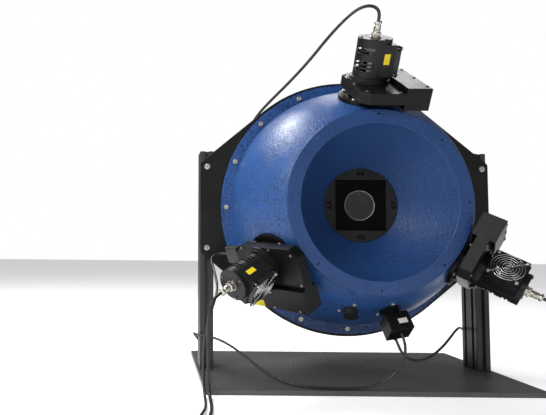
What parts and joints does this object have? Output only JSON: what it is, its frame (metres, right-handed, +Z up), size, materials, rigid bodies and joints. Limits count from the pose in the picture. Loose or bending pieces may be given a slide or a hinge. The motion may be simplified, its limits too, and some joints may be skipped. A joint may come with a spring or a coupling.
{
  "type": "integrating sphere light source",
  "caption": "Hollow blue sphere on a black slotted frame, with a funnel-shaped exit port, fan-cooled lamps behind swinging shutters, a detector and cables.",
  "frame": {"origin": "centre of the base plate's underside", "axes": "+X to the right along the base, +Y to the back, +Z up; the exit port faces -Y"},
  "size_m": [0.7901, 0.7273, 0.735],
  "materials": {
    "black_anodised": "satin black anodised aluminium",
    "blue_paint": "blue hammered paint on spun aluminium",
    "blue_anodised": "satin blue paint",
    "zinc_steel": "plated steel",
    "black_plastic": "moulded black plastic",
    "cable_jacket": "smooth black cable jacket",
    "lamp_glass": "clear glass with a ceramic base"
  },
  "bodies": {
    "frame": {"base_plate": "black_anodised", "left_post": "black_anodised", "right_post": "black_anodised", "mounting_plate": "black_anodised", "front_shell": "blue_paint", "rear_shell": "blue_paint", "port_funnel": "blue_anodised", "port_disc": "black_anodised", "aperture_plate": "black_anodised", "flange_screws": "zinc_steel", "frame_screws": "zinc_steel", "port_screws": "zinc_steel", "cover_screws": "zinc_steel", "fan_screws": "zinc_steel", "detector_collar": "black_anodised", "detector_box": "black_anodised", "port_plug": "black_plastic", "left_shutter_hood": "black_plastic", "top_attenuator_case": "black_anodised", "top_attenuator_cover": "black_anodised", "top_shutter_motor": "zinc_steel", "top_lamp_housing": "black_anodised", "top_lamp": "lamp_glass", "top_fan_frame": "black_plastic", "top_fan_guard": "zinc_steel", "top_lamp_plug": "black_plastic", "right_attenuator_case": "black_anodised", "right_attenuator_cover": "black_anodised", "right_shutter_motor": "zinc_steel", "right_lamp_housing": "black_anodised", "right_lamp": "lamp_glass", "right_fan_frame": "black_plastic", "right_fan_guard": "zinc_steel", "right_lamp_plug": "black_plastic", "left_attenuator_case": "black_anodised", "left_attenuator_cover": "black_anodised", "left_shutter_motor": "zinc_steel", "left_lamp_housing": "black_anodised", "left_lamp": "lamp_glass", "left_fan_frame": "black_plastic", "left_fan_guard": "zinc_steel", "left_lamp_plug": "black_plastic", "top_lamp_lead": "cable_jacket", "top_lamp_lead_plug": "black_plastic", "left_lamp_lead": "cable_jacket", "left_lamp_lead_plug": "black_plastic", "right_lamp_lead": "cable_jacket", "right_lamp_lead_plug": "black_plastic", "left_shutter_lead": "cable_jacket", "left_shutter_lead_plug": "black_plastic", "first_detector_lead": "cable_jacket", "first_detector_lead_plug": "black_plastic", "second_detector_lead": "cable_jacket", "second_detector_lead_plug": "black_plastic"},
    "top_vane": {"top_shutter_vane": "black_anodised"},
    "top_rotor": {"top_fan_rotor": "black_plastic"},
    "right_vane": {"right_shutter_vane": "black_anodised"},
    "right_rotor": {"right_fan_rotor": "black_plastic"},
    "left_vane": {"left_shutter_vane": "black_anodised"},
    "left_rotor": {"left_fan_rotor": "black_plastic"}
  },
  "joints": [
    {"name": "top_vane_swing", "type": "hinge", "parent": "frame", "child": "top_vane", "pos_m": [0.065, -0.1821, 0.59317], "axis": [0, -0.515, 0.8572], "range_deg": [0, 55]},
    {"name": "top_fan_spin", "type": "hinge", "parent": "frame", "child": "top_rotor", "pos_m": [0.038, -0.1937, 0.64744], "axis": [1, 0, 0], "continuous": true},
    {"name": "right_vane_swing", "type": "hinge", "parent": "frame", "child": "right_vane", "pos_m": [0.22565, -0.18689, 0.30313], "axis": [-0.7347, 0.515, 0.4415], "range_deg": [0, 55]},
    {"name": "right_fan_spin", "type": "hinge", "parent": "frame", "child": "right_rotor", "pos_m": [0.2343, -0.22369, 0.24154], "axis": [-0.2051, -0.789, 0.5791], "continuous": true},
    {"name": "left_vane_swing", "type": "hinge", "parent": "frame", "child": "left_vane", "pos_m": [-0.17438, -0.16211, 0.18668], "axis": [0.7423, 0.515, 0.4286], "range_deg": [0, 55]},
    {"name": "left_fan_spin", "type": "hinge", "parent": "frame", "child": "left_rotor", "pos_m": [-0.21931, -0.21239, 0.20244], "axis": [0.6654, -0.4917, -0.5617], "continuous": true}
  ]
}
